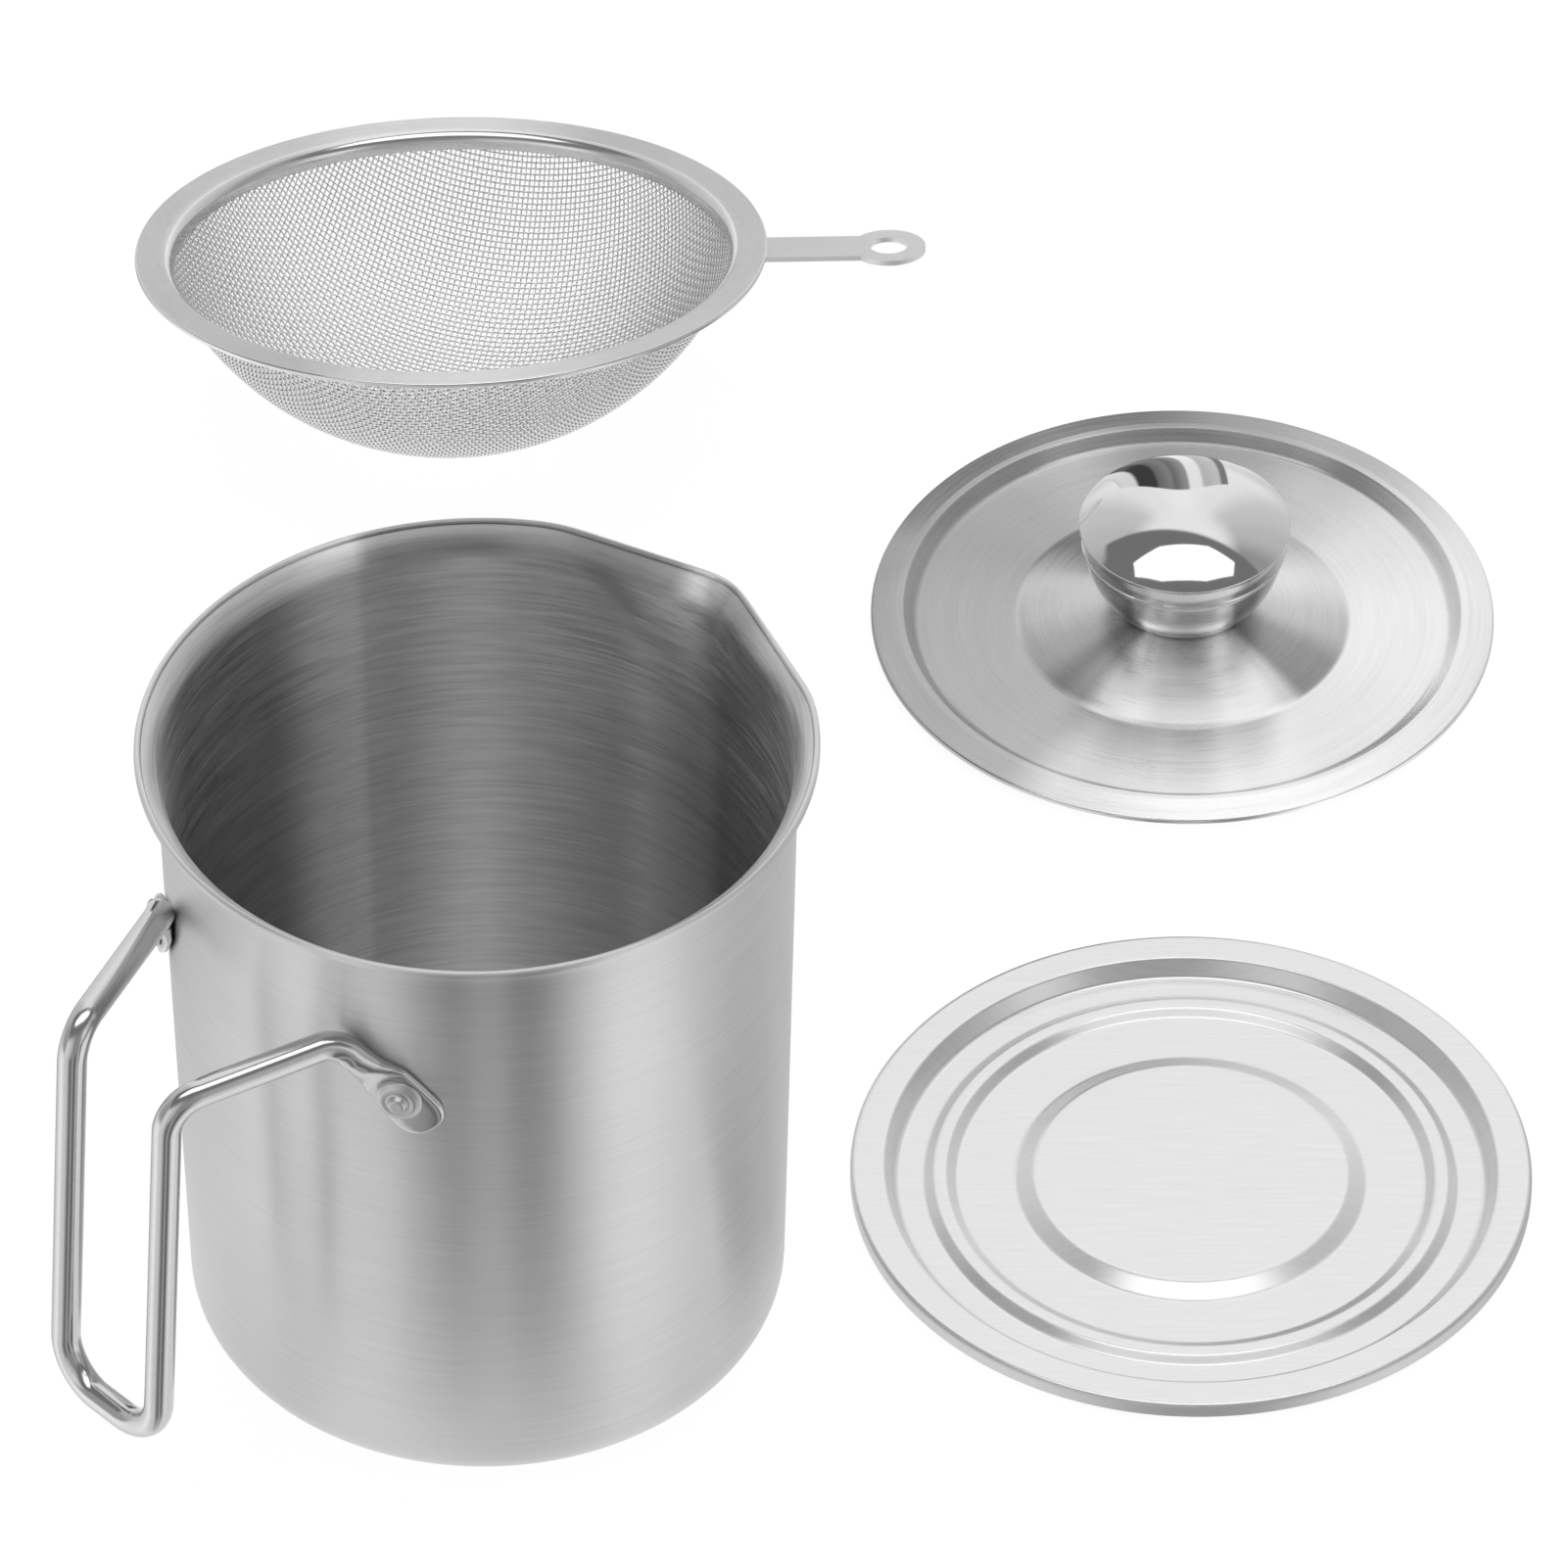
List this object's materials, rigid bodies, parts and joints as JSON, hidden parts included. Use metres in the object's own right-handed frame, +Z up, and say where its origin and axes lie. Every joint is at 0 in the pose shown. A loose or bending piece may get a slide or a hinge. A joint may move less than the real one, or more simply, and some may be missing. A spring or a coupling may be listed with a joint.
{
  "type": "bacon grease container",
  "caption": "Stainless steel grease pot with pour spout and wire handle, fine mesh strainer, knobbed lid and drip tray, laid out side by side.",
  "frame": {"origin": "centre of the underside of the pot's base, on the table that all four pieces stand on", "axes": "+Z up along the pot's axis; +X to the right and +Y away from the viewer of the picture; the spout points 44 degrees from +X towards +Y and the handle opposite"},
  "size_m": [0.2604, 0.3706, 0.128],
  "materials": {
    "satin_steel": "satin, brushed round the axis",
    "polished_steel": "mirror polished stainless",
    "woven_mesh": "fine plain weave",
    "hidden_steel": "machined"
  },
  "bodies": {
    "pot": {"pot_body": "satin_steel", "handle_wire": "polished_steel", "handle_rivets": "polished_steel"},
    "strainer": {"strainer_rim": "polished_steel", "strainer_mesh": "woven_mesh", "strainer_tab": "polished_steel"},
    "lid": {"lid_plate": "satin_steel", "knob_cap": "polished_steel", "knob_cup": "polished_steel", "knob_nut": "hidden_steel", "knob_screw": "hidden_steel", "knob_washer": "hidden_steel"},
    "drip_tray": {"tray": "satin_steel"}
  },
  "joints": [
    {"name": "lid_lift", "type": "slide", "parent": "pot", "child": "lid", "axis": [0, 0, 1], "range_m": [0, 0.15]},
    {"name": "strainer_lift", "type": "slide", "parent": "pot", "child": "strainer", "axis": [0, 0, 1], "range_m": [0, 0.15]},
    {"name": "tray_lift", "type": "slide", "parent": "pot", "child": "drip_tray", "axis": [0, 0, 1], "range_m": [0, 0.15]}
  ]
}
